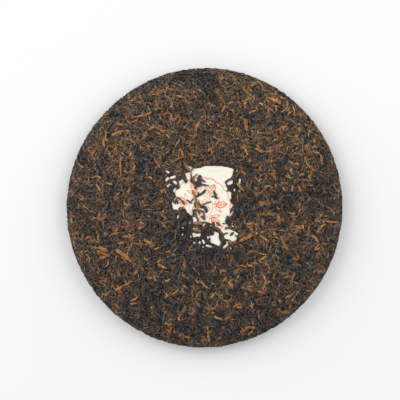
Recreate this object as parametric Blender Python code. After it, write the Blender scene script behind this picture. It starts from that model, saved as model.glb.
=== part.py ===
"""Pressed pu erh tea cake with a paper ticket set into its face.

The cake lies on its back, face up. It is turned about +Z, and the origin is the middle of the
underside, on the surface the cake lies on. +Y is the top of the ticket.

Run with: blender --background --python part.py
"""

import math

import bmesh
import bpy
from mathutils import Vector, noise

# Driving dimensions of the cake, in metres.
CAKE_RADIUS = 0.100
CENTRE_HEIGHT = 0.023
EQUATOR_HEIGHT = 0.007
BASE_CORNER_WIDTH = 0.014
DIMPLE_RADIUS = 0.032
DIMPLE_DEPTH = 0.011

# The face is a superellipse: |radius|^DOME_SPREAD + |height|^DOME_SHOULDER = 1.
DOME_SPREAD = 3.2
DOME_SHOULDER = 2.4

# How far the pressed outline is from a circle: lobe count, share of the radius, direction in degrees.
OUTLINE_LOBES = ((2, 0.0073, 74.0), (4, 0.0018, -5.5))

# Leaf-sized lumps over the face, edge and dimple. They fade out towards the flat base ring.
LUMP_SIZE = 0.007
LUMP_DEPTH = 0.0004
LUMP_FADE_HEIGHT = 0.004

# Creases that the gathered cloth bag leaves in the wall of the dimple.
CREASE_COUNT = 9
CREASE_DEPTH = 0.0004

# Mesh resolution of the cake.
SEGMENTS = 96
DOME_STEPS = 20
CORNER_STEPS = 5
RING_STEPS = 4
DIMPLE_STEPS = 7

# The paper ticket: a thin square of paper, a little below the face, in a recess of its own shape.
TICKET_WIDTH = 0.058
TICKET_LENGTH = 0.061
TICKET_CENTRE = (-0.0022, 0.0004)
TICKET_TURN = math.radians(-2.0)
TICKET_THICKNESS = 0.0006
TICKET_SINK = 0.0008
TICKET_GAP = 0.0003
TICKET_CELLS = 12

# The ticket's edges aren't quite straight: the height of their wave, and each pair's turn along half
# an edge and its start, both in radians.
EDGE_WAVE = 0.0006
SIDE_EDGES_TURN = 5.0
SIDE_EDGES_START = 0.7
END_EDGES_TURN = 4.0
END_EDGES_START = -0.4

TEA_COLOUR = (0.080, 0.056, 0.040, 1.0)
TEA_ROUGHNESS = 0.75
PAPER_COLOUR = (0.87, 0.82, 0.72, 1.0)
PAPER_ROUGHNESS = 0.9

# Points of the spun profile closer than this are one point.
MERGE_DISTANCE = 1e-5


def clear_scene():
    """Removes every object, so that the file holds only the tea cake."""
    for obj in list(bpy.data.objects):
        bpy.data.objects.remove(obj, do_unlink=True)


def plain_material(name, colour, roughness):
    """A material of one colour and roughness, with no metal in it."""
    material = bpy.data.materials.new(name)
    material.use_nodes = True
    shader = material.node_tree.nodes["Principled BSDF"]
    shader.inputs["Base Color"].default_value = colour
    shader.inputs["Roughness"].default_value = roughness
    shader.inputs["Metallic"].default_value = 0.0
    return material


def linked_object(name, bm, material):
    """Turns the bmesh into an object of that name and material, in the scene."""
    mesh = bpy.data.meshes.new(name)
    bm.to_mesh(mesh)
    bm.free()
    mesh.materials.append(material)
    obj = bpy.data.objects.new(name, mesh)
    bpy.context.scene.collection.objects.link(obj)
    return obj


def outline_scale(angle):
    """Share of the round cake's radius that the outline has in this direction."""
    return 1.0 + sum(
        share * math.cos(lobes * (angle - math.radians(direction)))
        for lobes, share, direction in OUTLINE_LOBES
    )


def face_height(x, y):
    """Height of the smooth face above the point (x, y)."""
    radius = math.hypot(x, y) / (CAKE_RADIUS * outline_scale(math.atan2(y, x)))
    rise = (1.0 - min(radius, 1.0) ** DOME_SPREAD) ** (1.0 / DOME_SHOULDER)
    return EQUATOR_HEIGHT + (CENTRE_HEIGHT - EQUATOR_HEIGHT) * rise


def dome_points():
    """(radius, height) down the face, from the middle to the widest point."""
    points = []
    for step in range(DOME_STEPS + 1):
        turn = 0.5 * math.pi * step / DOME_STEPS
        radius = CAKE_RADIUS * math.sin(turn) ** (2.0 / DOME_SPREAD)
        rise = max(math.cos(turn), 0.0) ** (2.0 / DOME_SHOULDER)
        points.append((radius, EQUATOR_HEIGHT + (CENTRE_HEIGHT - EQUATOR_HEIGHT) * rise))
    return points


def corner_points():
    """(radius, height) round the lower edge, a quarter ellipse from the widest point to the base ring."""
    points = []
    for step in range(1, CORNER_STEPS + 1):
        turn = 0.5 * math.pi * step / CORNER_STEPS
        radius = CAKE_RADIUS - BASE_CORNER_WIDTH * (1.0 - math.cos(turn))
        points.append((radius, EQUATOR_HEIGHT * (1.0 - math.sin(turn))))
    return points


def ring_points():
    """(radius, height) across the flat ring that the cake rests on."""
    outer = CAKE_RADIUS - BASE_CORNER_WIDTH
    width = outer - DIMPLE_RADIUS
    return [(outer - width * step / RING_STEPS, 0.0) for step in range(1, RING_STEPS + 1)]


def dimple_points():
    """(radius, height) up the dimple, a raised cosine, from the base ring to the axis."""
    points = []
    for step in range(1, DIMPLE_STEPS + 1):
        share = 1.0 - step / DIMPLE_STEPS
        height = DIMPLE_DEPTH * 0.5 * (1.0 + math.cos(math.pi * share))
        points.append((DIMPLE_RADIUS * share, height))
    return points


def turned_cake():
    """The round cake: its profile spun about +Z into one closed body."""
    bm = bmesh.new()
    profile = dome_points() + corner_points() + ring_points() + dimple_points()
    verts = [bm.verts.new((radius, 0.0, height)) for radius, height in profile]
    edges = [bm.edges.new(pair) for pair in zip(verts, verts[1:])]
    bmesh.ops.spin(
        bm,
        geom=verts + edges,
        cent=(0.0, 0.0, 0.0),
        axis=(0.0, 0.0, 1.0),
        angle=2.0 * math.pi,
        steps=SEGMENTS,
        use_merge=True,
    )
    bmesh.ops.remove_doubles(bm, verts=bm.verts, dist=MERGE_DISTANCE)
    bmesh.ops.recalc_face_normals(bm, faces=bm.faces)
    bm.normal_update()
    return bm


def press_unevenly(bm):
    """Gives the round cake its real outline, its leaf-sized lumps and the creases in its dimple.

    A lump moves a point along its normal by a smooth noise. A crease does so by a cosine round the
    axis, strongest halfway up the dimple's wall.
    """
    for vert in bm.verts:
        angle = math.atan2(vert.co.y, vert.co.x)
        radius = math.hypot(vert.co.x, vert.co.y)
        lump = noise.noise(vert.co / LUMP_SIZE) * LUMP_DEPTH
        lump *= min(1.0, vert.co.z / LUMP_FADE_HEIGHT)
        on_wall = vert.normal.z < 0.0 and radius < DIMPLE_RADIUS
        share = radius / DIMPLE_RADIUS
        crease = CREASE_DEPTH * math.sin(math.pi * share) ** 2 if on_wall else 0.0
        push = vert.normal * (lump + crease * math.cos(CREASE_COUNT * angle))
        scale = outline_scale(angle)
        vert.co = Vector((vert.co.x * scale, vert.co.y * scale, vert.co.z)) + push


def ticket_slab(grow, above_face, below_face):
    """A slab of the ticket's shape, its outline grown by grow, that follows the face.

    Its top lies above_face over the smooth face and its bottom below_face under it.
    """
    bm = bmesh.new()
    bmesh.ops.create_grid(bm, x_segments=TICKET_CELLS, y_segments=TICKET_CELLS, size=1.0)
    cos_turn, sin_turn = math.cos(TICKET_TURN), math.sin(TICKET_TURN)
    for vert in bm.verts:
        across, along = vert.co.x, vert.co.y
        wave_x = EDGE_WAVE * across * math.sin(SIDE_EDGES_TURN * along + SIDE_EDGES_START)
        wave_y = EDGE_WAVE * along * math.sin(END_EDGES_TURN * across + END_EDGES_START)
        x = across * (0.5 * TICKET_WIDTH + grow) + wave_x
        y = along * (0.5 * TICKET_LENGTH + grow) + wave_y
        vert.co.x = TICKET_CENTRE[0] + cos_turn * x - sin_turn * y
        vert.co.y = TICKET_CENTRE[1] + sin_turn * x + cos_turn * y
        vert.co.z = face_height(vert.co.x, vert.co.y) - below_face
    raised = bmesh.ops.extrude_face_region(bm, geom=bm.faces[:])
    new_verts = [item for item in raised["geom"] if isinstance(item, bmesh.types.BMVert)]
    bmesh.ops.translate(bm, verts=new_verts, vec=(0.0, 0.0, above_face + below_face))
    bmesh.ops.recalc_face_normals(bm, faces=bm.faces)
    return bm


def cut_recess(cake):
    """Cuts the recess that holds the ticket, with the gap all round it and under it."""
    depth = TICKET_SINK + TICKET_THICKNESS + TICKET_GAP
    slab = ticket_slab(TICKET_GAP, CENTRE_HEIGHT, depth)
    cutter = linked_object("ticket_recess_cutter", slab, cake.data.materials[0])
    cutter.hide_render = True
    cutter.display_type = "WIRE"
    recess = cake.modifiers.new("ticket recess", "BOOLEAN")
    recess.operation = "DIFFERENCE"
    recess.solver = "EXACT"
    recess.object = cutter


def build_cake():
    """The pressed cake with its recess, as the node tea_cake."""
    bm = turned_cake()
    press_unevenly(bm)
    tea = plain_material("pressed_tea", TEA_COLOUR, TEA_ROUGHNESS)
    cake = linked_object("tea_cake", bm, tea)
    cake.data.shade_smooth()
    cut_recess(cake)
    return cake


def build_ticket():
    """The paper ticket, as the node paper_ticket."""
    paper = plain_material("ticket_paper", PAPER_COLOUR, PAPER_ROUGHNESS)
    slab = ticket_slab(0.0, -TICKET_SINK, TICKET_SINK + TICKET_THICKNESS)
    return linked_object("paper_ticket", slab, paper)


clear_scene()
build_cake()
build_ticket()
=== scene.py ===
"""Looks of a pressed pu erh tea cake: thousands of twisted leaves over a dark core, and its paper ticket.

Lengths are in metres unless a name says otherwise. Every piece is worked out on a cake turned about +Z,
and press_outline() then gives all of them the same slightly uneven outline.
"""

import math

import bpy
import numpy as np
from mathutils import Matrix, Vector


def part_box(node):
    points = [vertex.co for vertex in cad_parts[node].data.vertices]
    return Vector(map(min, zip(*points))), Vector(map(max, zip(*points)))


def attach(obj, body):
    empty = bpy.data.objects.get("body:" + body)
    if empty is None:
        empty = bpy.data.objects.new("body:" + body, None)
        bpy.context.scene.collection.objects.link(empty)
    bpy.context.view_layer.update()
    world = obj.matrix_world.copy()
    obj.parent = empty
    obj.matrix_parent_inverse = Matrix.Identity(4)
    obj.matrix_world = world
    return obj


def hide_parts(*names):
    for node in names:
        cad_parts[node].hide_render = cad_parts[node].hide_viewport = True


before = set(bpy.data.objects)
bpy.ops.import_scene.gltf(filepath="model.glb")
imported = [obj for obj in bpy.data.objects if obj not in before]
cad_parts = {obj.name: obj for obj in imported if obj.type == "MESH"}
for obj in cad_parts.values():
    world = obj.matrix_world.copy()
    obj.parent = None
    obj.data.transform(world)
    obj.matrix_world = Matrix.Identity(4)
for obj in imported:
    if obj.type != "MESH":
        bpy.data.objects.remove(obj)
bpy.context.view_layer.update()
cake_low, cake_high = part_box("tea_cake")
ticket_low, ticket_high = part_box("paper_ticket")

MM = 0.001

# The smooth cake, as its solid has it. The solid's lumps stand a little proud of it.
LUMP_RISE = 0.15 * MM
CAKE_RADIUS = 0.25 * (cake_high.x - cake_low.x + cake_high.y - cake_low.y)
CENTRE_HEIGHT = cake_high.z - LUMP_RISE
EQUATOR_HEIGHT = 7.0 * MM
BASE_CORNER_WIDTH = 14.0 * MM
DIMPLE_RADIUS = 32.0 * MM
DIMPLE_DEPTH = 11.0 * MM
DOME_SPREAD = 3.2
DOME_SHOULDER = 2.4
OUTLINE_LOBES = ((2, 0.0073, 74.0), (4, 0.0018, -5.5))

# Steps of the profile: on the face and on the edge, in the dimple, and in all.
CURVE_STEPS = 3000
DIMPLE_STEPS = 400
PROFILE_STEPS = 1600

# The core under the leaves, and the lengths of the waves that make its relief.
CORE_INSET = 1.5 * MM
CORE_RELIEF = 0.30 * MM
CORE_WAVES = (3.0 * MM, 7.0 * MM)
CORE_RINGS = 260
CORE_AROUND = 360

# The paper ticket, as its solid has it. The sheet itself is thinner.
TICKET_WIDTH = 58.0 * MM
TICKET_LENGTH = 61.0 * MM
TICKET_CENTRE = 0.5 * (ticket_low + ticket_high)
TICKET_TURN = math.radians(-2.0)
TICKET_SINK = 0.8 * MM
SHEET_THICKNESS = 0.22 * MM
SHEET_CELLS = 200

# The wave in the sheet's edges: its height, and the turn along half an edge and the start of each pair in
# radians. The sides are frayed too, by the product of two quicker waves.
EDGE_WAVE = 0.6 * MM
SIDE_EDGES_TURN = 5.0
SIDE_EDGES_START = 0.7
END_EDGES_TURN = 4.0
END_EDGES_START = -0.4
FRAY = 0.12 * MM
FRAY_TURNS = (37.0, 23.0)
FRAY_START = 2.0

# Bumps that the leaves below press into the sheet.
SHEET_BUMPS = 0.13 * MM
BUMP_WAVES = (3.0 * MM, 8.0 * MM)

# How much deeper the leaves press the sheet, into the core. It rises again where it's bare, and by this
# share in narrow gaps.
SHEET_PRESSED = 1.3 * MM
GAP_RISE = 0.78

# How ragged the bare part's edge is, the share of bare paper nearby at which it has fully risen, and how
# often the map of what is bare is softened.
SHEET_RAGGED = 0.12
RAGGED_WAVES = (0.9 * MM, 2.4 * MM)
EDGE_SHARE = 0.6
SOFTENINGS = 2

# A strand's shape: how far it strays from its smooth path, how much wider one end may be, the power of its
# taper, its least share of thickness and the limits of its folds.
STRAY = 0.14 * MM
LEAN = 0.30
TAPER_POWER = 2.6
LEAST_THICKNESS = 0.35
FOLDS = (0.70, 1.14)

# A fold of this factor has ridge height 0, and one higher by the span has 1. The tips have their own.
RIDGE_START = 0.65
RIDGE_SPAN = 0.55
TIP_RIDGE = 0.6

# The strands' maps: the margin in a leaf's cell of OFBake and how many columns there are to a row, and in
# the map strand the length of one repeat and the number of shifts. END_SHARE is where the end ring lies.
CELL_MARGIN = 0.04
COLUMNS_TO_ROWS = 3.0
VEIN_LENGTH = 4.0 * MM
VEIN_SHIFTS = 40
END_SHARE = 0.05

# Scattered leaves: the shift of their places as a share of the spacing, and the radius within which it
# grows no more; the spread of sizes between their limits; and how far the clump and painted light field
# moves a tint.
PLACE_SHIFT = 0.7
LEAST_RADIUS = 2.0 * MM
SIZE_SPREAD = (1.6, 2.2)
TINT_CLUMPING_AND_PAINTED_LIGHT = 0.26

# Paths: how often a point is settled after each step, and the steps that both tips take up.
SETTLINGS = 3
TIP_STEPS = 0.2

# Places over the ticket: steps that fill a square evenly, the margin round it and the random shift.
SQUARE_STEPS = (0.7548776662, 0.5698402910)
TICKET_MARGIN = 3.0 * MM
TICKET_SHIFT = 0.8 * MM

# The clump field: heights and lengths of its short and long waves, how much warmer the mix gets from the
# middle to the right rim and to the top rim (painted light), and how much darker it is outside the rim's
# start (painted shade on the rim).
SHORT_HEIGHT = 0.9
SHORT_WAVES = (9.0 * MM, 20.0 * MM)
LONG_HEIGHT = 0.35
LONG_WAVES = (30.0 * MM, 70.0 * MM)
# Painted light: the mix lighter and warmer towards the top and the right.
PAINTED_LIGHT_SLOPE = (0.03, 0.11)
RIM_START = 0.986 * CAKE_RADIUS
# Painted shade: the mix is darker on the rim, where the side wall lies in shade.
RIM_PAINTED_SHADE = 0.6

# Darker places: x, y and radius in millimetres, and how much darker, or warmer below zero. The last three
# are painted light and shade: a lighter, warmer mix at the upper left and upper right and a darker one at
# the lower right.
DARK_PATCHES_AND_PAINTED_LIGHT_MM = (
    (-19, -13, 13, 0.6), (27, 0, 9, 0.7), (60, 2, 15, 0.5), (8, -34, 9, 0.5), (-44, -62, 15, 0.4),
    (0, 88, 9, 0.7), (-84, 28, 9, 0.5), (2, -88, 14, 0.4), (-60, 38, 34, -0.25), (68, 36, 26, -0.15),
    (36, -64, 30, 0.20),
)

# Finishes of the leaves: the colours that their tints run through, the colour of their rubbed ridges and
# how much it shows, smoothness and gloss.
LEAF_FINISHES = {
    "charcoal_leaf": {
        "stops": (
            (0.019, 0.022, 0.029), (0.035, 0.027, 0.026), (0.033, 0.036, 0.040),
            (0.050, 0.043, 0.036), (0.075, 0.063, 0.046),
        ),
        "rubbed": (0.102, 0.091, 0.076), "rubbed_share": 0.35, "smoothness": 0.60, "specular": 0.40,
    },
    "taupe_leaf": {
        "stops": (
            (0.042, 0.037, 0.030), (0.076, 0.060, 0.042), (0.124, 0.091, 0.055),
            (0.106, 0.093, 0.066), (0.222, 0.170, 0.100),
        ),
        "rubbed": (0.180, 0.145, 0.105), "rubbed_share": 0.40, "smoothness": 0.50, "specular": 0.35,
    },
    "brown_leaf": {
        "stops": (
            (0.048, 0.023, 0.016), (0.088, 0.043, 0.023), (0.126, 0.070, 0.034), (0.186, 0.090, 0.037),
        ),
        "rubbed": (0.220, 0.130, 0.075), "rubbed_share": 0.40, "smoothness": 0.50, "specular": 0.35,
    },
    "golden_tip": {
        "stops": (
            (0.170, 0.080, 0.032), (0.260, 0.120, 0.041), (0.360, 0.160, 0.047), (0.390, 0.205, 0.076),
        ),
        "rubbed": (0.460, 0.270, 0.120), "rubbed_share": 0.40, "smoothness": 0.35, "specular": 0.35,
    },
    "rust_strand": {
        "stops": ((0.130, 0.044, 0.020), (0.210, 0.070, 0.028), (0.280, 0.105, 0.036)),
        "rubbed": (0.380, 0.170, 0.070), "rubbed_share": 0.40, "smoothness": 0.40, "specular": 0.35,
    },
    "broken_leaf": {
        "stops": (
            (0.016, 0.017, 0.020), (0.036, 0.035, 0.033), (0.075, 0.058, 0.042),
            (0.120, 0.070, 0.038), (0.200, 0.098, 0.040), (0.160, 0.125, 0.082),
        ),
        "rubbed": (0.240, 0.170, 0.110), "rubbed_share": 0.40, "smoothness": 0.45, "specular": 0.35,
    },
}

# The print, in millimetres: how far a line's soft edge reaches inside and outside its half width, half
# widths of the lines, the veins' spacing, and how many there are of each thing.
LINE_SOFT_INSIDE = 0.12
LINE_SOFT_OUTSIDE = 0.15
OUTLINE_HALF = 0.34
MIDRIB_HALF = 0.30
VEIN_HALF = 0.28
VEIN_SPACING = 1.7
SCALLOPS = 18
SPRIGS = 7
PETALS = 5

# How each kind of leaf is shaped: limits of its length and width in millimetres and of its thickness as a
# share of the width; bend, hook, roll and twist in radians; stations and corners of its mesh; how much it
# swells and shrinks; the shares of the width that its ends have and its tips reach out; how much its
# darker end tells; how deep one end dives in millimetres; and the share of places that it takes, alone and
# for each unit of the clump and painted light field.
LEAF = {
    "stations": 5, "corners": 4, "crumple": 0.22, "end_width": 0.52, "tip": 0.40, "dark_end": 1.0,
    "roll": 0.30, "twist": 0.7, "dive": 0.6,
}
CHARCOAL = {
    **LEAF, "material": "charcoal_leaf", "length": (4.0, 13.0), "width": (1.10, 2.40),
    "flatness": (0.24, 0.42), "bend": 0.7, "hook": 0.25, "share": 0.88, "clumping_and_painted_light": -0.30,
}
TAUPE = {
    **LEAF, "material": "taupe_leaf", "length": (3.5, 11.0), "width": (0.90, 1.95), "flatness": (0.28, 0.48),
    "bend": 0.8, "hook": 0.30, "share": 0.80, "clumping_and_painted_light": 0.20,
}
BROWN = {
    **LEAF, "material": "brown_leaf", "length": (3.2, 10.0), "width": (0.85, 1.90), "flatness": (0.28, 0.48),
    "bend": 0.9, "hook": 0.35, "end_width": 0.50, "share": 0.70, "clumping_and_painted_light": 0.45,
}
GOLDEN = {
    **LEAF, "material": "golden_tip", "length": (3.2, 10.5), "width": (0.95, 2.10), "flatness": (0.35, 0.60),
    "bend": 1.1, "hook": 0.55, "twist": 0.6, "stations": 7, "crumple": 0.20, "end_width": 0.50, "tip": 0.45,
    "share": 0.60, "clumping_and_painted_light": 0.70,
}
STEM = {
    **LEAF, "material": "rust_strand", "length": (4.0, 11.0), "width": (0.60, 0.95), "flatness": (0.80, 1.0),
    "bend": 0.5, "hook": 0.20, "twist": 0.3, "crumple": 0.12, "end_width": 0.75, "tip": 0.30,
    "share": 0.75, "clumping_and_painted_light": 0.30,
}
BROKEN = {
    **LEAF, "material": "broken_leaf", "length": (1.2, 3.4), "width": (0.7, 1.5), "flatness": (0.40, 0.80),
    "bend": 0.6, "hook": 0.0, "twist": 0.4, "stations": 3, "crumple": 0.24, "end_width": 0.65, "tip": 0.30,
    "share": 0.80, "clumping_and_painted_light": 0.35,
}

# Bits of leaf packed deeper, between the whole leaves and the core.
PACKED = {**BROKEN, "length": (2.4, 6.0), "width": (1.2, 2.4), "flatness": (0.28, 0.45)}

# Shorter leaves, which fit between the bare parts of the ticket.
SHORT_CHARCOAL = {**CHARCOAL, "length": (1.8, 5.5), "width": (0.8, 1.6)}
SHORT_BROWN = {**BROWN, "length": (1.8, 5.0), "width": (0.7, 1.4)}

# Strands laid one by one, which have their own places, lengths and widths.
LAID = {
    **LEAF, "stations": 7, "corners": 5, "crumple": 0.26, "end_width": 0.66, "tip": 0.25, "dark_end": 0.45,
    "flatness": (0.4, 0.5), "roll": 0.15, "twist": 0.35, "dive": 0.0,
}


# ---------------------------------------------------------------- the smooth cake


def cake_profile():
    """Radius and height along the cake's profile, evenly spaced by arc length.

    The face is a superellipse, the lower edge a quarter ellipse, the base ring flat and the dimple a
    raised cosine. Returns arc length, radius, height and the arc lengths where the face and edge end.
    """
    turn = np.linspace(0.0, 0.5 * math.pi, CURVE_STEPS)
    face_radius = CAKE_RADIUS * np.sin(turn) ** (2.0 / DOME_SPREAD)
    rise = np.maximum(np.cos(turn), 0.0) ** (2.0 / DOME_SHOULDER)
    face_height = EQUATOR_HEIGHT + (CENTRE_HEIGHT - EQUATOR_HEIGHT) * rise
    edge_radius = CAKE_RADIUS - BASE_CORNER_WIDTH * (1.0 - np.cos(turn))
    edge_height = EQUATOR_HEIGHT * (1.0 - np.sin(turn))
    share = np.linspace(1.0, 0.0, DIMPLE_STEPS)
    pit_height = DIMPLE_DEPTH * 0.5 * (1.0 + np.cos(math.pi * share))
    radius = np.concatenate((face_radius, edge_radius, DIMPLE_RADIUS * share))
    height = np.concatenate((face_height, edge_height, pit_height))
    arc = np.concatenate(([0.0], np.cumsum(np.hypot(np.diff(radius), np.diff(height)))))
    even = np.linspace(0.0, arc[-1], PROFILE_STEPS)
    face_end = arc[len(turn) - 1]
    edge_end = arc[2 * len(turn) - 1]
    return even, np.interp(even, arc, radius), np.interp(even, arc, height), face_end, edge_end


ARC, RADIUS, HEIGHT, FACE_END, EDGE_END = cake_profile()
ARC_END = ARC[-1]
SLOPE_R = np.gradient(RADIUS, ARC)
SLOPE_Z = np.gradient(HEIGHT, ARC)
SLOPE = np.hypot(SLOPE_R, SLOPE_Z)
TANGENT_R = SLOPE_R / SLOPE
TANGENT_Z = SLOPE_Z / SLOPE

# The leaves of the face and those of the back meet halfway round the edge.
EDGE_MIDDLE = 0.5 * (FACE_END + EDGE_END)
FACE = (0.0, EDGE_MIDDLE)
BACK = (EDGE_MIDDLE, ARC_END)


def unit(vectors):
    """Vectors scaled to length one."""
    length = np.linalg.norm(vectors, axis=-1, keepdims=True)
    return vectors / np.maximum(length, 1e-12)


def place(arc, angle):
    """Point on the smooth cake and its outward normal, from arc length down it and angle round it."""
    radius = np.interp(arc, ARC, RADIUS)
    along_r = np.interp(arc, ARC, TANGENT_R)
    along_z = np.interp(arc, ARC, TANGENT_Z)
    cos_angle = np.cos(angle)
    sin_angle = np.sin(angle)
    point = np.stack((radius * cos_angle, radius * sin_angle, np.interp(arc, ARC, HEIGHT)), -1)
    normal = np.stack((-along_z * cos_angle, -along_z * sin_angle, along_r), -1)
    return point, unit(normal)


def settle(points, arc):
    """Nearest place on the smooth cake: arc creeps by the part of the miss that lies along the profile."""
    radius = np.hypot(points[..., 0], points[..., 1])
    for _ in range(SETTLINGS):
        miss_r = radius - np.interp(arc, ARC, RADIUS)
        miss_z = points[..., 2] - np.interp(arc, ARC, HEIGHT)
        creep = miss_r * np.interp(arc, ARC, TANGENT_R) + miss_z * np.interp(arc, ARC, TANGENT_Z)
        arc = np.clip(arc + creep, 0.0, ARC_END)
    point, normal = place(arc, np.arctan2(points[..., 1], points[..., 0]))
    return point, normal, arc


def outline_scale(angle):
    """Share of the turned cake's radius that the uneven outline has in this direction: a sum of lobes."""
    scale = np.ones_like(angle)
    for lobes, share, direction in OUTLINE_LOBES:
        scale = scale + share * np.cos(lobes * (angle - math.radians(direction)))
    return scale


def press_outline(points):
    """Scales x and y by outline_scale, and keeps everything on or above the surface the cake lies on."""
    scale = outline_scale(np.arctan2(points[..., 1], points[..., 0]))
    x = points[..., 0] * scale
    y = points[..., 1] * scale
    return np.stack((x, y, np.maximum(points[..., 2], 0.0)), -1)


def face_spot(x, y):
    """Arc length and angle of the place on the face that press_outline brings to (x, y)."""
    angle = np.arctan2(y, x)
    on_face = ARC <= FACE_END
    arc = np.interp(np.hypot(x, y) / outline_scale(angle), RADIUS[on_face], ARC[on_face])
    return arc, angle


def waves(points, lengths, seed, count=26):
    """A smooth field between -1 and 1: a sum of plane waves of these lengths in random directions."""
    draws = np.random.default_rng(seed)
    direction = unit(draws.normal(size=(count, 3)))
    length = draws.uniform(*lengths, count)
    phase = draws.uniform(0.0, 2.0 * math.pi, count)
    height = np.zeros(points.shape[:-1])
    for index in range(count):
        across = points @ direction[index]
        height = height + np.sin(2.0 * math.pi * across / length[index] + phase[index])
    return np.clip(height / math.sqrt(2.0 * count), -1.0, 1.0)


# ---------------------------------------------------------------- meshes


def link(name, data):
    """A new object of this name and data in the scene."""
    new_object = bpy.data.objects.new(name, data)
    bpy.context.scene.collection.objects.link(new_object)
    return new_object


def add_mesh(name, points, loops, sizes, material, maps=None, colours=None):
    """A smooth-shaded mesh object from whole arrays: points, corner indices and corners per face."""
    mesh = bpy.data.meshes.new(name)
    starts = np.concatenate(([0], np.cumsum(sizes)[:-1]))
    mesh.vertices.add(len(points))
    mesh.vertices.foreach_set("co", np.ascontiguousarray(points, np.float32).ravel())
    mesh.loops.add(len(loops))
    mesh.loops.foreach_set("vertex_index", np.ascontiguousarray(loops, np.int32))
    mesh.polygons.add(len(sizes))
    mesh.polygons.foreach_set("loop_start", starts.astype(np.int32))
    mesh.polygons.foreach_set("use_smooth", np.ones(len(sizes), bool))
    mesh.update(calc_edges=True)
    for map_name, places in (maps or {}).items():
        layer = mesh.uv_layers.new(name=map_name)
        layer.uv.foreach_set("vector", np.ascontiguousarray(places, np.float32).ravel())
    if colours is not None:
        layer = mesh.color_attributes.new("leaf", "FLOAT_COLOR", "POINT")
        layer.data.foreach_set("color", np.ascontiguousarray(colours, np.float32).ravel())
    mesh.materials.append(material)
    piece = link(name, mesh)
    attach(piece, "root")
    return piece


def tube_faces(rings, corners):
    """Corner indices, corners per face and places of a closed tube, around and along it from 0 to 1.

    Quads join the rings, and a fan of triangles runs to a point past each end. The vertices are the rings
    in order, then the two end points.
    """
    corner = np.arange(corners)[:, None]
    ring = np.repeat(np.arange(rings - 1), corners)[:, None]
    quad_turns = np.tile(corner, (rings - 1, 1)) + (0, 1, 1, 0)
    quad_rings = ring + (0, 0, 1, 1)
    fan_turns = corner + (1.0, 0.0, 0.5, 0.0, 1.0, 0.5)
    fan_rings = 0 * corner + (0, 0, -1, rings - 1, rings - 1, rings)
    turn = np.concatenate((quad_turns.ravel(), fan_turns.ravel()))
    ring = np.concatenate((quad_rings.ravel(), fan_rings.ravel()))
    loops = ring * corners + turn.astype(int) % corners
    loops[ring < 0] = rings * corners
    loops[ring == rings] = rings * corners + 1
    sizes = np.repeat((4, 3), (len(quad_turns), 2 * corners))
    return loops, sizes, np.stack((turn / corners, (ring + 1) / (rings + 1)), -1)


def strand_points(strands, form, draws):
    """Rings of points round each strand's path, and the ridge height of each point.

    path and up are leaf x station x 3. A ring's corner lies across times the cosine and thickness times
    the sine of its angle, times its own fold factor, which makes ridges and creases. The ring rolls by
    twist from one end to the other, narrows as 1 - share^TAPER_POWER to the form's end_width, and swells
    and shrinks at random by up to its crumple. Past each end is a point, the form's tip times the width on.
    """
    path = strands["path"]
    leaves, stations = path.shape[:2]
    corners = form["corners"]
    crumple = form["crumple"]
    end_width = form["end_width"]
    share = np.linspace(-1.0, 1.0, stations)[None, :]
    heading = unit(np.gradient(path, axis=1))
    side = unit(np.cross(strands["up"], heading))
    out = np.cross(heading, side)
    lean = draws.uniform(-LEAN, LEAN, (leaves, 1))
    taper = end_width + (1.0 - end_width) * (1.0 - np.abs(share) ** TAPER_POWER)
    taper = taper * (1.0 + lean * share)
    taper = taper * draws.uniform(1.0 - crumple, 1.0 + crumple, (leaves, stations))
    angle = strands["roll"][:, None] + strands["twist"][:, None] * share
    turned_side = side * np.cos(angle)[..., None] + out * np.sin(angle)[..., None]
    turned_out = out * np.cos(angle)[..., None] - side * np.sin(angle)[..., None]
    around = 2.0 * math.pi * np.arange(corners) / corners
    fold = draws.uniform(*FOLDS, (leaves, 1, corners))
    fold = fold * draws.uniform(1.0 - crumple, 1.0 + crumple, (leaves, stations, corners))
    half_width = 0.5 * strands["width"][:, None] * taper
    half_thick = 0.5 * strands["thickness"][:, None] * (LEAST_THICKNESS + (1.0 - LEAST_THICKNESS) * taper)
    reach_side = half_width[..., None] * np.cos(around) * fold
    reach_out = half_thick[..., None] * np.sin(around) * fold
    rings = path[:, :, None] + turned_side[:, :, None] * reach_side[..., None]
    rings = rings + turned_out[:, :, None] * reach_out[..., None]
    tip = form["tip"] * strands["width"][:, None]
    first = path[:, 0] - heading[:, 0] * tip * (1.0 - lean)
    last = path[:, -1] + heading[:, -1] * tip * (1.0 + lean)
    points = np.concatenate((rings.reshape(leaves, -1, 3), first[:, None], last[:, None]), 1)
    ridge = np.clip((fold - RIDGE_START) / RIDGE_SPAN, 0.0, 1.0).reshape(leaves, -1)
    ridge = np.concatenate((ridge, np.full((leaves, 2), TIP_RIDGE)), 1)
    return points, ridge


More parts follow.
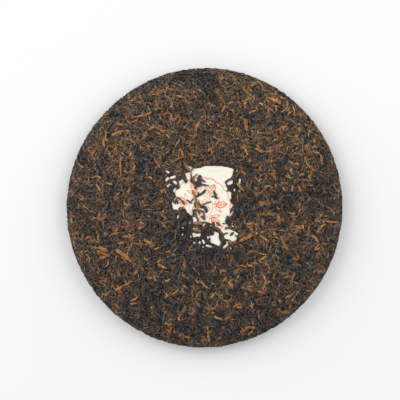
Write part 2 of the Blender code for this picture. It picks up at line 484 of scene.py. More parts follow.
def add_strands(name, strands, form, draws):
    """One piece of closed strands, from a dictionary of arrays with a row for each.

    Each leaf has its own cell in the map OFBake. The attribute leaf holds its tint, its ridge height and
    the share of its length, times the form's dark_end.
    """
    points, ridge = strand_points(strands, form, draws)
    path = strands["path"]
    leaves, stations = path.shape[:2]
    corners = form["corners"]
    loops, sizes, places = tube_faces(stations, corners)
    per_leaf = points.shape[1]
    index = np.arange(leaves)
    columns = math.ceil(math.sqrt(COLUMNS_TO_ROWS * leaves))
    rows = math.ceil(leaves / columns)
    corner = np.stack((index % columns, index // columns), -1)
    cell = CELL_MARGIN + (1.0 - 2.0 * CELL_MARGIN) * places
    baked = (corner[:, None] + cell[None]) / (columns, rows)
    length = np.linalg.norm(np.diff(path, axis=1), axis=-1).sum(1)
    fibre = np.repeat(places[None], leaves, 0)
    fibre[..., 1] *= length[:, None] / VEIN_LENGTH
    fibre = fibre + draws.integers(0, VEIN_SHIFTS, (leaves, 1, 2))
    share = np.linspace(END_SHARE, 1.0 - END_SHARE, stations)
    along = np.concatenate((np.repeat(share, corners), (0.0, 1.0)))
    along = form["dark_end"] * np.repeat(along[None], leaves, 0)
    tints = np.repeat(strands["tint"][:, None], per_leaf, 1)
    colours = np.stack((tints, ridge, along, np.ones_like(tints)), -1)
    return add_mesh(
        name,
        press_outline(points.reshape(-1, 3)),
        (loops[None, :] + per_leaf * index[:, None]).ravel(),
        np.tile(sizes, leaves),
        bpy.data.materials[form["material"]],
        {"strand": fibre.reshape(-1, 2), "OFBake": baked.reshape(-1, 2)},
        colours.reshape(-1, 4),
    )


# ---------------------------------------------------------------- scattering


def zone_places(count, zone):
    """Evenly spread places on a zone of the cake, for scatter, each moved at random by about the spacing.

    They lie at equal shares of the zone's area, a golden angle apart.
    """
    arc_from, arc_to = zone

    def spread(draws):
        inside = (ARC >= arc_from) & (ARC <= arc_to)
        area = np.cumsum(np.where(inside, RADIUS, 0.0))
        area = area / area[-1]
        share = (np.arange(count) + 0.5) / count
        golden_angle = math.pi * (3.0 - math.sqrt(5.0))
        angle = golden_angle * np.arange(count) + draws.uniform(0.0, 2.0 * math.pi)
        arc = np.interp(share, area[inside], ARC[inside])
        spacing = (arc_to - arc_from) / math.sqrt(count)
        arc = np.clip(arc + draws.normal(0.0, PLACE_SHIFT, count) * spacing, arc_from, arc_to)
        radius = np.maximum(np.interp(arc, ARC, RADIUS), LEAST_RADIUS)
        return arc, angle + draws.normal(0.0, PLACE_SHIFT, count) * spacing / radius

    return spread


def ticket_places(count):
    """Evenly spread places over the ticket and a little round it, for scatter, each moved at random."""
    def spread(draws):
        share = (0.5 + np.outer(SQUARE_STEPS, np.arange(count))) % 1.0 - 0.5
        x = TICKET_CENTRE.x + share[0] * (TICKET_WIDTH + 2.0 * TICKET_MARGIN)
        x = x + draws.normal(0.0, TICKET_SHIFT, count)
        y = TICKET_CENTRE.y + share[1] * (TICKET_LENGTH + 2.0 * TICKET_MARGIN)
        y = y + draws.normal(0.0, TICKET_SHIFT, count)
        return face_spot(x, y)

    return spread


def walk(arc, angle, heading, length, bend, hook, stations):
    """Paths that creep over the cake, leaf x station, and their normals.

    From its middle each path goes half its length both ways in equal steps. Before each step the
    direction turns about the normal by its share of bend, and over the last steps by hook too. After
    each step the point settles back on to the cake, and the direction loses what points out.
    """
    start, up = place(arc, angle)
    round_cake = np.stack((-np.sin(angle), np.cos(angle), np.zeros_like(angle)), -1)
    down = np.cross(round_cake, up)
    first = down * np.cos(heading)[:, None] + round_cake * np.sin(heading)[:, None]
    step = (length / (stations + TIP_STEPS))[:, None]
    sides = []
    for way in (-1.0, 1.0):
        point = start
        normal = up
        at = arc
        direction = way * first
        trail = []
        for stage in range(stations // 2):
            turn = way * bend / stations
            if way > 0.0 and stage > 0:
                turn = turn + 0.5 * hook
            left = np.cross(normal, direction)
            direction = direction * np.cos(turn)[:, None] + left * np.sin(turn)[:, None]
            point, normal, at = settle(point + direction * step, at)
            outward = (direction * normal).sum(-1, keepdims=True)
            direction = unit(direction - outward * normal)
            trail.append((point, normal))
        sides.append(trail)
    whole = sides[0][::-1] + [(start, up)] + sides[1]
    return np.stack([entry[0] for entry in whole], 1), np.stack([entry[1] for entry in whole], 1)


def between(draws, limits_mm, count):
    """Random sizes between two limits in millimetres, more of them near the lower one."""
    low, high = np.multiply(limits_mm, MM)
    return low + (high - low) * draws.beta(*SIZE_SPREAD, count)


def press_in(path, up, width, kind, tops_mm, draws):
    """Strands of this kind as a dictionary of arrays, each pressed in along its path.

    Its top lies somewhere between two depths under the smooth cake, with one end up to the kind's dive
    deeper. Small random side steps of size STRAY keep it from looking drawn with a ruler.
    """
    leaves, stations = path.shape[:2]
    thickness = width * draws.uniform(*kind["flatness"], leaves)
    top_depth = draws.uniform(*np.multiply(tops_mm, MM), leaves)
    dive = draws.uniform(0.0, kind["dive"] * MM, leaves) if kind["dive"] else np.zeros(leaves)
    end = draws.choice((-1.0, 1.0), (leaves, 1))
    share = np.linspace(-1.0, 1.0, stations)[None, :]
    slant = dive[:, None] * np.clip(0.5 + 0.5 * share * end, 0.0, 1.0) ** 2
    depth = (top_depth + 0.5 * thickness)[:, None] + slant
    stray = draws.normal(0.0, STRAY, (leaves, stations))
    side = unit(np.cross(up, np.gradient(path, axis=1)))
    return {
        "path": path - up * depth[..., None] + side * stray[..., None],
        "up": up,
        "width": width,
        "thickness": thickness,
        "roll": draws.normal(0.0, kind["roll"], leaves),
        "twist": draws.normal(0.0, kind["twist"], leaves),
    }


def clump_and_painted_light_field(points):
    """Where warm leaves gather (up to 1) and dark ones do (down to -1).

    Short waves, long waves and a slope across the cake, less the dark places, each a bell curve of the
    distance from its middle, and less the rim. The slope, the last three places and the rim are painted
    light
    and shade: a lighter, warmer mix towards the top and a darker one at the lower right and on the rim.
    """
    x = points[..., 0]
    y = points[..., 1]
    field = SHORT_HEIGHT * waves(points, SHORT_WAVES, 77) + LONG_HEIGHT * waves(points, LONG_WAVES, 78)
    # Painted light: the slope makes the mix lighter and warmer towards the top and the right.
    field = field + (PAINTED_LIGHT_SLOPE[0] * x + PAINTED_LIGHT_SLOPE[1] * y) / CAKE_RADIUS
    on_top = points[..., 2] > EQUATOR_HEIGHT
    # The last three places paint light and shade: lighter at the upper left and right, darker at the lower
    # right.
    for place_x, place_y, radius, strength in DARK_PATCHES_AND_PAINTED_LIGHT_MM:
        reach = np.hypot(x / MM - place_x, y / MM - place_y) / radius
        field = field - strength * np.exp(-reach * reach) * on_top
    # Painted shade on the rim: the mix is darker outside RIM_START.
    return np.clip(field - RIM_PAINTED_SHADE * (np.hypot(x, y) > RIM_START), -1.0, 1.0)


def scatter(name, kind, seed, places, tops_mm, keep=None):
    """Strands of one kind at these places, each with its top somewhere between two depths.

    A leaf stays where a random draw is under its kind's share plus clumping_and_painted_light times the
    clump and painted light field.
    """
    draws = np.random.default_rng(seed)
    arc, angle = places(draws)
    field = clump_and_painted_light_field(place(arc, angle)[0])
    drawn = draws.uniform(0.0, 1.0, len(arc)) < kind["share"] + kind["clumping_and_painted_light"] * field
    arc = arc[drawn]
    angle = angle[drawn]
    count = len(arc)
    heading = draws.uniform(0.0, 2.0 * math.pi, count)
    lengths = between(draws, kind["length"], count)
    widths = between(draws, kind["width"], count)
    bends = draws.normal(0.0, kind["bend"], count)
    hooks = draws.normal(0.0, kind["hook"], count)
    path, up = walk(arc, angle, heading, lengths, bends, hooks, kind["stations"])
    strands = press_in(path, up, widths, kind, tops_mm, draws)
    tint = draws.uniform(0.0, 1.0, count) + TINT_CLUMPING_AND_PAINTED_LIGHT * field[drawn]
    strands["tint"] = np.clip(tint, 0.0, 1.0)
    if keep is not None:
        kept = keep(path, up, widths)
        strands = {key: rows[kept] for key, rows in strands.items()}
    return add_strands(name, strands, kind, draws)


# ---------------------------------------------------------------- bare paper and what lies on it

# The bare paper's outlines, in millimetres from the cake's middle. Strands laid over it make the notches.
BARE_MM = (
    (
        (-9, 26), (-8, 27.5), (-5, 28), (-2, 28.5), (0, 29.5), (8, 29.5), (13, 29), (17, 28.5), (20.5, 27.5),
        (19.5, 22.5), (17.5, 20.5), (14.5, 18.5), (16, 14), (16, 12.5), (19, 10.5), (18.5, 8), (19, 6.5),
        (17.5, 5.5), (20, 2), (20.5, 0), (20, -3), (18.5, -6), (15, -6.5), (14.5, -10), (17, -13.5),
        (14.5, -14.5), (17, -15), (20, -16), (24, -18.5), (22.5, -19.5), (23, -21.5), (22, -23), (19, -24),
        (17.5, -22.5), (14.5, -22), (13, -20.5), (13, -18), (9, -15), (7.5, -13), (7, -11), (4.5, -11),
        (0.5, -9.5), (-4, -10.5), (-8, -11.5), (-8.5, -6), (-12, -3.5), (-13.5, -1), (-15, -0.5),
        (-18.5, -1.5), (-22.5, -1), (-22.5, 1), (-23.5, 3.5), (-20, 7.5), (-20.5, 10), (-23, 13),
        (-21.5, 14.5), (-18, 13.5), (-18.5, 18.5), (-16, 20.5), (-13.5, 18.5), (-11.5, 18.5), (-14, 24),
        (-11.5, 25), (-10.5, 24.5),
    ),
    (
        (3.5, -19.5), (6, -19.5), (6.5, -16.5), (10, -18), (10, -21.5), (11.5, -25), (10, -27), (7, -25.5),
        (4, -24.5),
    ),
    ((-9, -19), (-8, -17.5), (-5.5, -18.5), (-2.5, -18), (-3.5, -20.5), (-5, -20), (-7.5, -21)),
    ((-8.5, -14), (-5, -14.5), (-2, -16.5), (-6, -15.5), (-8.5, -15)),
    ((-2, -22), (-1, -22.5), (0.5, -24), (-0.5, -26), (-1.5, -24)),
    ((15.5, 17), (17, 19), (20, 19.5), (19.5, 17), (17, 16)),
    ((-25.5, 20.5), (-23.5, 22), (-20.5, 23), (-20.5, 21), (-23, 20.5)),
    ((-23, 19), (-21.5, 19.5), (-19, 17.5), (-20, 16)),
)

# Narrow gaps between leaves where paper shows: both ends and half the width, in millimetres.
BARE_GAPS_MM = (
    (-26, 15, -24.5, 17, 0.7), (-24.5, 17, -22.5, 16, 0.6), (-27, 19.5, -26, 21, 0.9),
    (-27, 26, -25.5, 25, 0.8), (-11, 29, -9.5, 28, 0.8), (25, 20, 24.5, 17.5, 0.6),
    (23, 26.5, 23, 26, 0.6), (21, 13, 21, 12, 0.6), (24.5, 12, 24.5, 11.5, 0.5),
    (19, -11.5, 19.5, -11, 0.4), (19.5, -13, 20.5, -13.5, 0.4), (15.5, -24, 16, -24.5, 0.6),
    (13.5, -28, 16, -26, 0.8), (18, -28, 18.5, -29, 0.4), (1.5, -26.5, 4.5, -27.5, 0.6),
    (2, -20.5, 3, -22, 0.6), (0, -11, -1, -12.5, 0.7), (4, -12.5, 5, -12.5, 0.4),
    (-1.5, -27.5, -1, -27.5, 0.4), (-3.5, -24, -3.5, -25, 0.5), (-7, -24.5, -7.5, -25, 0.6),
    (-10, -20, -9.5, -20.5, 0.4), (-15.5, -18.5, -15.5, -19, 0.4), (-16, -14, -15, -14, 0.4),
    (-10.5, -9.5, -10.5, -11, 0.6), (-18.5, -5.5, -19, -7, 0.5), (-29.5, -2.5, -29.5, -3, 0.5),
)

# Share of its width by which a strand's sides and ends keep off the bare paper.
BARE_MARGIN = 0.20

# How far from the bare paper the extra leaves lie that fill up to its outline, and how many points of a
# circle tell.
NEAR_BARE = 3.2 * MM
NEAR_POINTS = 8


def in_bare_outlines(points):
    """True for each point inside an outline of BARE_MM: a ray from it crosses an odd number of edges."""
    x = points[..., 0] / MM
    y = points[..., 1] / MM
    inside = np.zeros(x.shape, bool)
    for outline in BARE_MM:
        for (x0, y0), (x1, y1) in zip(outline, outline[1:] + outline[:1]):
            spans = (y0 > y) != (y1 > y)
            crossing = x0 + (y - y0) * (x1 - x0) / ((y1 - y0) or 1e-9)
            inside ^= spans & (x < crossing)
    return inside


def in_bare_gaps(points):
    """True for each point nearer to one of the segments BARE_GAPS_MM than its half width.

    The distance runs from the point's foot on the line, kept between the two ends.
    """
    x = points[..., 0] / MM
    y = points[..., 1] / MM
    inside = np.zeros(x.shape, bool)
    for x0, y0, x1, y1, half_width in BARE_GAPS_MM:
        run_x = x1 - x0
        run_y = y1 - y0
        share = ((x - x0) * run_x + (y - y0) * run_y) / (run_x * run_x + run_y * run_y)
        share = np.clip(share, 0.0, 1.0)
        inside |= np.hypot(x - x0 - share * run_x, y - y0 - share * run_y) < half_width
    return inside


def on_bare_paper(points):
    """True for each point that lies over the bare paper."""
    return in_bare_outlines(points) | in_bare_gaps(points)


def off_bare_paper(path, up, widths):
    """True for each strand that keeps off the bare paper with its middle, its two sides and its ends."""
    halfway = 0.5 * (path[:, 1:] + path[:, :-1])
    heading = unit(path[:, -1] - path[:, 0])
    reach = BARE_MARGIN * widths[:, None]
    first = path[:, :1] - (heading * reach)[:, None]
    last = path[:, -1:] + (heading * reach)[:, None]
    whole = np.concatenate((first, path, halfway, last), 1)
    side = (unit(np.cross(up[:, 0], heading)) * reach)[:, None]
    tested = np.concatenate((whole - side, whole, whole + side), 1)
    return ~on_bare_paper(press_outline(tested)).any(1)


def beside_bare_paper(path, up, widths):
    """True for each strand that keeps off the bare paper but lies within NEAR_BARE of it.

    The points of a circle round its middle tell.
    """
    turn = 2.0 * math.pi * np.arange(NEAR_POINTS) / NEAR_POINTS
    circle = NEAR_BARE * np.stack((np.cos(turn), np.sin(turn), np.zeros(NEAR_POINTS)), -1)
    middle = path[:, path.shape[1] // 2]
    near = on_bare_paper(press_outline(middle[:, None] + circle)).any(1)
    return near & off_bare_paper(path, up, widths)


# Strands laid one by one, each from one end to the other: x, y, x, y, bow to the left, width, in
# millimetres.
TICKET_GOLDEN_MM = (
    (-9, 12.5, -5.5, 4, -0.3, 2.3), (-5.5, 5, -5, -0.5, 0.3, 2), (-14, 31, -10, 25, 0, 1.3),
    (-7.5, 28.5, -10, 25.5, 0, 1.1), (17, -22.5, 18.5, -25.5, 0, 1.5), (20, -24, 22.5, -23.5, -0.3, 1.1),
    (22.5, 17, 27.5, 12, 0, 1.5), (-7.5, -11, -1.5, -11.5, 0.2, 1.5),
)
TICKET_BROWN_MM = (
    (-5.5, 24, -7.5, 21.5, 0, 1.3), (-7.5, 22, -7, 18, -1, 1.8), (4.5, 4.5, -2, 2, -0.3, 1.1),
    (-25.5, 18, -20, 19.5, 1, 1.2), (-20, 7.5, -14, 2, 0.5, 1.2), (-8, -1, 0.5, -3, 0.5, 1.9),
    (-7, -2, -6, -6, 0, 2.3), (-4.5, -2.5, -3.5, -4.5, 0, 1.8), (-0.5, -4, -0.5, -9, 0.4, 1.2),
    (8, -10, 11.5, -12.5, 0, 1.2), (14, -15, 22.5, -15.5, 1, 1), (20, -17, 18, -19.5, 0, 1.8),
    (20.5, -4, 18, -6.5, 0, 1.1), (15, 18.5, 20.5, 21.5, 0, 1.1), (14.5, 18.5, 16.5, 14, 0, 1.2),
    (-8.5, -15.5, -2.5, -17, 0.2, 1.4), (25, 26, 21.5, 20.5, 0, 1.4), (-4, 11.5, -5.5, 8, 0.3, 1.2),
    (-18.5, -1, -13.5, -1, 0.8, 1.1), (15.5, 12, 18, 12, 0.3, 1.2),
)
TICKET_DARK_MM = (
    (-15, 23, -12.5, 18, 0, 3.2), (-9.5, 25, -10, 18, 0, 1.3), (-4, 23, -3, 19, 0.4, 2.3),
    (-4.5, 21.5, -5, 16.5, 0.8, 2.2), (-2.5, 20.5, 0, 18.5, 0, 1.5), (-9.5, 19.5, -6, 16.5, 0, 1.9),
    (-2.5, 18.5, -6, 15.5, 0, 1.9), (-6, 18, -6.5, 13, 0.4, 2), (-5.5, 14.5, 3, 15, 1.5, 1.5),
    (1, 13, -5.5, 8, 0, 2.3), (-13, 6, -9, 3.5, 0, 1.1), (-9.5, 4, -7.5, 6, 0.3, 1.2),
    (-24.5, 18.5, -18.5, 13.5, 0.3, 2.1), (-19.5, 22, -18, 14, 0, 1.9), (-25.5, 19.5, -24, 17, 0, 1.4),
    (-25, 15.5, -22.5, 13, 0, 2.4), (-20.5, 6, -18.5, 3, 0, 1.4), (-23, 5, -20.5, 2.5, 0, 1.4),
    (-7.5, 3.5, -6.5, 0, 0, 1.4), (-2, 0.5, 1, -3.5, 1, 2.9), (-4, 4, -1.5, 0, 0, 1.4),
    (-8, -1.5, -8, -6, 0.2, 1.6), (-6, -5.5, -4, -10.5, 0, 1.1), (-3, -6, -1, -8, 0.3, 1.0),
    (-4, -11, 2.5, -11, 0.8, 1), (-8.5, -12.5, -2, -14.5, 0.3, 1.6), (6, -10, 6.5, -14.5, -0.4, 2.4),
    (6.5, -14, 12.5, -19, 0.7, 2.1), (12, -17.5, 12.5, -24.5, 0, 2.2), (12.5, -24, 11, -28.5, 0.3, 2.1),
    (3, -14.5, 6.5, -15.5, 0, 2.2), (5, -16.5, 6, -19, 0.3, 1.5), (6.5, 12, 8.5, 6.5, -0.4, 1.6),
    (5, 8, 6, 8, 0, 1.1), (12.5, -11, 14, -11, 0, 1.2), (13.5, -19, 16.5, -18, 0.5, 1.1),
    (21.5, -19, 24, -20.5, 0, 1.3), (19.5, 0.5, 17.5, -3.5, 0, 1.8), (21.5, 27.5, 20.5, 21, -0.3, 1.7),
    (16, -6, 17.5, -10.5, 0, 2.2), (14.5, -9, 17, -12.5, 0, 1.6), (-1.5, -21, 4, -24.5, 0.2, 2.1),
    (3.5, -21, 2.5, -24.5, 0.4, 1.5), (5, -25, 7.5, -28, -0.4, 1.8), (-9, -5, -9, -12.5, 0, 1.2),
    (13, -21.5, 16.5, -23, 0, 1.5), (-9, -22, -4.5, -21, -0.3, 1),
)
FACE_GOLDEN_MM = (
    (-20, 80, -14, 78, 0, 1.5), (-5, 84, -1, 82, 0, 1.6), (-50, 64.5, -37, 68, -1, 1.4),
    (-66, 51, -57, 55, 0.8, 1.4), (-70, 55, -70, 49, 0, 1.4), (-62, 44, -64, 38, 0, 1.3),
    (-40, 55, -34, 57, 1, 1.5), (-35, 57, -28, 53, 0.5, 1.5), (-24, 32, -15, 36, 0.3, 1.5),
    (-17, 42, -15, 37, 0, 1.3), (-35, 34, -31, 29, 0, 1.4), (-60, 35, -59, 23, -0.5, 1.3),
    (-80, 21, -73, 21, 1.5, 1.4), (-60, 11, -64, 6, 0, 1.5), (-90, 32, -86, 29, -0.5, 1.4),
    (45, 79, 54, 74.5, 0, 2.1), (59, 77, 58.5, 71, 0.3, 1.4), (58.5, 71, 54, 67.5, 0.3, 1.3),
    (31, 86, 34, 82.5, 0, 1.7), (27, 75, 33, 78, 0.3, 1.4), (10.5, 78.5, 14.5, 73, 0.3, 1.5),
    (14.5, 73, 12, 68, 0, 1.4), (32, 67, 36, 69, 0.5, 1.4), (28, 62, 30, 54.5, 0.5, 1.6),
    (64, 70, 63, 66, 0.3, 1.4), (61, 63, 67, 58, 0, 1.5), (63, 46, 66.5, 46, -0.8, 1.3),
    (36, 41.5, 42.5, 39.5, -0.4, 1.4), (42.5, 39.5, 49, 41, -0.4, 1.3), (26.5, 43.5, 30.5, 37, 0.5, 1.5),
    (71, 36, 79, 26, -1.8, 1.4), (78, 38.5, 82, 38.5, 0.5, 1.3), (82, 38.5, 83, 31, 0.6, 1.5),
    (65, 20, 75, 19, 0, 1.4), (75.5, 26, 75, 19, 0, 1.3), (66.5, 23, 70.5, 25, 0, 1.7),
    (66, 16.5, 68, 11.5, 0, 1.4), (38, 4.5, 42, 2.5, 0, 1.4), (41, -4.5, 44.5, -5, 0, 1.5),
    (-67, -20, -60, -18, 0.6, 1.5), (-54, -18, -51, -23, 0.8, 1.7), (-43, -22.5, -38, -25, 0, 1.7),
    (-42, -26, -37.5, -25, 0.4, 1.5), (-63, -29, -52, -38, 0.5, 1.8), (-76, -28, -69, -30.5, 0, 1.6),
    (-76, -31, -68, -34, 0.3, 1.6), (-74.5, -35, -67, -33, -0.6, 1.5), (-33, -40, -27, -43, 0, 1.7),
    (-34, -39, -30, -36.5, 0.4, 1.4), (-28, -31, -24, -30, -0.6, 1.3), (-63, -58, -53, -53, 0.5, 1.5),
    (-53, -68, -48.5, -67.5, 0, 1.7), (-28, -82, -23, -83, 0, 1.4), (-76, -8.5, -70, -7, 0, 1.5),
    (-3.5, -52, 2, -57, 0, 1.6), (30.5, -13, 34.5, -18, 0.5, 1.5), (25, -22.5, 33.5, -19, -0.3, 3),
    (39, -19.5, 45, -24, 0, 1.4), (53, -20, 58.5, -29.5, 0, 1.3), (51.5, -5, 52.5, -12, 0.3, 1.6),
    (86, -9.5, 96, -10.5, 0, 1.4), (76, -19.5, 80.5, -24.5, 0.6, 1.5), (81, -18, 86, -12, 1.5, 1.4),
    (30.5, -41, 35, -42, 0.4, 1.5), (11, -43.5, 15, -45, 0, 1.4), (26, -56.5, 34, -59.5, 0.8, 1.5),
    (36, -59, 42, -60.5, 0, 1.4), (57, -64, 62, -61.5, 0, 1.4), (55, -75, 61, -74.5, 0.3, 1.5),
    (7, -77, 12.5, -79, 0, 2), (14, -79.5, 18, -77.5, 0, 1.4), (23, -70.5, 26, -71, 0, 1.8),
    (2.5, -88, 3.5, -95, -0.5, 1.8), (29, -86, 35.5, -86, 0.5, 2), (31, -90.5, 34.5, -88, 0, 1.8),
)
FACE_RUST_MM = (
    (-26, 65, -22.5, 61.5, 0, 1.2), (-22.5, 61.5, -18, 66, 0, 1.2), (53.5, 57, 54, 54, 0, 1.6),
    (47, 43, 53, 44, 0, 1.3), (-75, -52, -69.5, -51.5, 0, 1.6), (-62, -55, -59.5, -60, 0, 1.5),
    (-66, -46, -65.5, -51, 0, 1.4),
)

# A laid strand is a bundle of fibres. Each lies aside by up to this share of the strand's width and slips
# lengthwise, its ends and bow stray, and it has its share of the width.
LAID_FIBRES = 3
LAID_ASIDE = 0.32
LAID_SLIP_MM = 0.30
LAID_STRAY_MM = 0.15
LAID_SHARES = (0.45, 0.72)

# The share of its length between a fibre's end and its end ring, and how much wider it's made than its
# share, to allow for the folds.
LAID_END = 0.03
LAID_WIDER = 1.2


def bundle(rows, draws):
    """Each row LAID_FIBRES times, as the fibres of one strand, and the direction to the left of each."""
    table = np.repeat(np.array(rows), LAID_FIBRES, axis=0)
    count = len(table)
    heading = unit(table[:, 2:4] - table[:, 0:2])
    aside = np.stack((-heading[:, 1], heading[:, 0]), -1)
    shift = draws.uniform(-LAID_ASIDE, LAID_ASIDE, (count, 1)) * table[:, 5:]
    slip = draws.normal(0.0, LAID_SLIP_MM, (count, 1))
    for column in (0, 2):
        stray = draws.normal(0.0, LAID_STRAY_MM, (count, 2))
        table[:, column:column + 2] += aside * shift + heading * slip + stray
    table[:, 4] += draws.normal(0.0, LAID_STRAY_MM, count)
    table[:, 5] *= draws.uniform(*LAID_SHARES, count)
    return table, aside


def laid_strands(name, material, seed, rows, tops_mm, tints):
    """Strands from one given end to the other, each bowed to its left as a parabola."""
    draws = np.random.default_rng(seed)
    table, aside = bundle(rows, draws)
    share = np.linspace(LAID_END, 1.0 - LAID_END, LAID["stations"])[None, :, None]
    start = table[:, None, 0:2] * MM
    end = table[:, None, 2:4] * MM
    bow = table[:, None, 4:5] * MM * aside[:, None]
    flat = start * (1.0 - share) + end * share + bow * 4.0 * share * (1.0 - share)
    path, up = place(*face_spot(flat[..., 0], flat[..., 1]))
    strands = press_in(path, up, table[:, 5] * MM, LAID, tops_mm, draws)
    strands["tint"] = draws.uniform(*tints, len(table))
    strands["width"] = LAID_WIDER * strands["width"]
    return add_strands(name, strands, {**LAID, "material": material}, draws)


# ---------------------------------------------------------------- core and ticket


def add_core(material):
    """The cake's core: its profile turned about +Z, drawn in by CORE_INSET, with relief of leaf size.

    A tube of rings down the profile, turned inside out because its rings run the other way from a leaf's.
    """
    arc = np.linspace(0.0, ARC_END, CORE_RINGS + 2)[1:-1]
    angle = 2.0 * math.pi * np.arange(CORE_AROUND) / CORE_AROUND
    point, normal = place(*np.meshgrid(arc, angle, indexing="ij"))
    relief = CORE_RELIEF * waves(point, CORE_WAVES, seed=3)
    body = point - normal * (CORE_INSET - relief)[..., None]
    ends = ((0.0, 0.0, CENTRE_HEIGHT - CORE_INSET), (0.0, 0.0, DIMPLE_DEPTH + CORE_INSET))
    points = press_outline(np.concatenate((body.reshape(-1, 3), ends)))
    loops, sizes, _ = tube_faces(CORE_RINGS, CORE_AROUND)
    return add_mesh("tea_core", points, loops[::-1], sizes[::-1], material)


def soften(grid):
    """Each value of the grid replaced, SOFTENINGS times over, by the mean of its 3 by 3 neighbourhood."""
    for _ in range(SOFTENINGS):
        wide = np.pad(grid, 1, mode="edge")
        grid = (wide[:-2] + wide[1:-1] + wide[2:]) / 3.0
        grid = (grid[:, :-2] + grid[:, 1:-1] + grid[:, 2:]) / 3.0
    return grid


def risen(bare, torn):
    """How far the sheet has risen: 1 where bare, falling to 0 beside it, with an edge as uneven as torn.

    The smooth step s^2 (3 - 2s) of the softened map of what is bare.
    """
    share = soften(bare.astype(float)) + torn * ~bare
    share = np.clip(share / EDGE_SHARE, 0.0, 1.0)
    return share * share * (3.0 - 2.0 * share)


def add_ticket(material):
    """The paper ticket: a square sheet laid TICKET_SINK under the smooth face, with leaf-sized bumps.

    Where leaves cover it they press it SHEET_PRESSED deeper, with a slope less than a millimetre wide
    round each bare part. A top and a bottom grid of the same places, SHEET_THICKNESS apart, are joined
    by a strip round the edge.
    """
    share = np.linspace(-1.0, 1.0, SHEET_CELLS)
    across, along = np.meshgrid(share, share, indexing="xy")
    side_wave = EDGE_WAVE * across * np.sin(SIDE_EDGES_TURN * along + SIDE_EDGES_START)
    end_wave = EDGE_WAVE * along * np.sin(END_EDGES_TURN * across + END_EDGES_START)
    fray = FRAY * np.sin(FRAY_TURNS[0] * along + FRAY_START) * np.sin(FRAY_TURNS[1] * along)
    x = across * (0.5 * TICKET_WIDTH + fray) + side_wave
    y = along * 0.5 * TICKET_LENGTH + end_wave
    flat_x = TICKET_CENTRE.x + math.cos(TICKET_TURN) * x - math.sin(TICKET_TURN) * y
    flat_y = TICKET_CENTRE.y + math.sin(TICKET_TURN) * x + math.cos(TICKET_TURN) * y
    flat = np.stack((flat_x, flat_y), -1)
    point, normal = place(*face_spot(flat_x, flat_y))
    bumps = SHEET_BUMPS * waves(point, BUMP_WAVES, seed=5)
    torn = SHEET_RAGGED * waves(point, RAGGED_WAVES, seed=6)
    rise = np.maximum(risen(in_bare_outlines(flat), torn), GAP_RISE * risen(in_bare_gaps(flat), torn))
    depth = TICKET_SINK + SHEET_PRESSED * (1.0 - rise) - bumps
    top = point - normal * depth[..., None]
    bottom = top - normal * SHEET_THICKNESS
    points = np.concatenate((top.reshape(-1, 3), bottom.reshape(-1, 3)))
    down = SHEET_CELLS * SHEET_CELLS
    index = np.arange(down).reshape(SHEET_CELLS, SHEET_CELLS)
    quads = np.stack((index[:-1, :-1], index[:-1, 1:], index[1:, 1:], index[1:, :-1]), -1).reshape(-1, 4)
    rim = np.concatenate((index[0, :-1], index[:-1, -1], index[-1, :0:-1], index[:0:-1, 0]))
    after = np.roll(rim, -1)
    strip = np.stack((after, rim, rim + down, after + down), -1)
    loops = np.concatenate((quads.ravel(), (quads[:, ::-1] + down).ravel(), strip.ravel()))
    sizes = np.full(len(loops) // 4, 4)
    return add_mesh("ticket_sheet", press_outline(points), loops, sizes, material)


# ---------------------------------------------------------------- material nodes


def new_material(name, roughness, specular=0.5):
    """A material with only its Principled BSDF and output. Returns the material, its tree and the shader."""
    material = bpy.data.materials.new(name)
    material.use_nodes = True
    shader = material.node_tree.nodes["Principled BSDF"]
    shader.inputs["Roughness"].default_value = roughness
    shader.inputs["Specular IOR Level"].default_value = specular
    return material, material.node_tree, shader


def put(tree, kind, **settings):
    """A node of this kind with its properties set."""
    node = tree.nodes.new(kind)
    for key, value in settings.items():
        setattr(node, key, value)
    return node


def feed(tree, socket, value):
    """Joins another socket to this one, or sets its value."""
    if isinstance(value, bpy.types.NodeSocket):
        tree.links.new(value, socket)
    else:
        socket.default_value = value


def calc(tree, operation, first, *others):
    """Output of Math nodes that take in one value after the other by this operation."""
    for value in others or (0.0,):
        node = put(tree, "ShaderNodeMath", operation=operation)
        feed(tree, node.inputs[0], first)
        feed(tree, node.inputs[1], value)
        first = node.outputs[0]
    return first


def plus(tree, *values):
    """Sum of the values."""
    return calc(tree, "ADD", *values)


def minus(tree, first, second):
    """The first value less the second."""
    return calc(tree, "SUBTRACT", first, second)


def times(tree, *values):
    """Product of the values."""
    return calc(tree, "MULTIPLY", *values)


def largest(tree, *values):
    """Largest of the values."""
    return calc(tree, "MAXIMUM", *values)


def ramp(tree, value, low, high, out_low=0.0, out_high=1.0):
    """Output of a clamped smooth Map Range node."""
    node = put(tree, "ShaderNodeMapRange", interpolation_type="SMOOTHSTEP")
    numbers = {"Value": value, "From Min": low, "From Max": high, "To Min": out_low, "To Max": out_high}
    for key, number in numbers.items():
        feed(tree, node.inputs[key], number)
    return node.outputs["Result"]


def mix(tree, factor, first, second, blend="MIX"):
    """Output of a colour Mix node."""
    node = put(tree, "ShaderNodeMix", data_type="RGBA", blend_type=blend)
    feed(tree, node.inputs[0], factor)
    feed(tree, node.inputs[6], first)
    feed(tree, node.inputs[7], second)
    return node.outputs[2]


def noise(tree, vector, scale, detail=3.0, roughness=0.5):
    """Output of a Noise node between 0 and 1."""
    node = put(tree, "ShaderNodeTexNoise")
    feed(tree, node.inputs["Vector"], vector)
    node.inputs["Scale"].default_value = scale
    node.inputs["Detail"].default_value = detail
    node.inputs["Roughness"].default_value = roughness
    return node.outputs["Fac"]


def object_coords(tree):
    """The Object coordinates."""
    return put(tree, "ShaderNodeTexCoord").outputs["Object"]


def stretched(tree, vector, scale):
    """The vector with each axis scaled."""
    node = put(tree, "ShaderNodeMapping")
    feed(tree, node.inputs["Vector"], vector)
    node.inputs["Scale"].default_value = scale
    return node.outputs["Vector"]


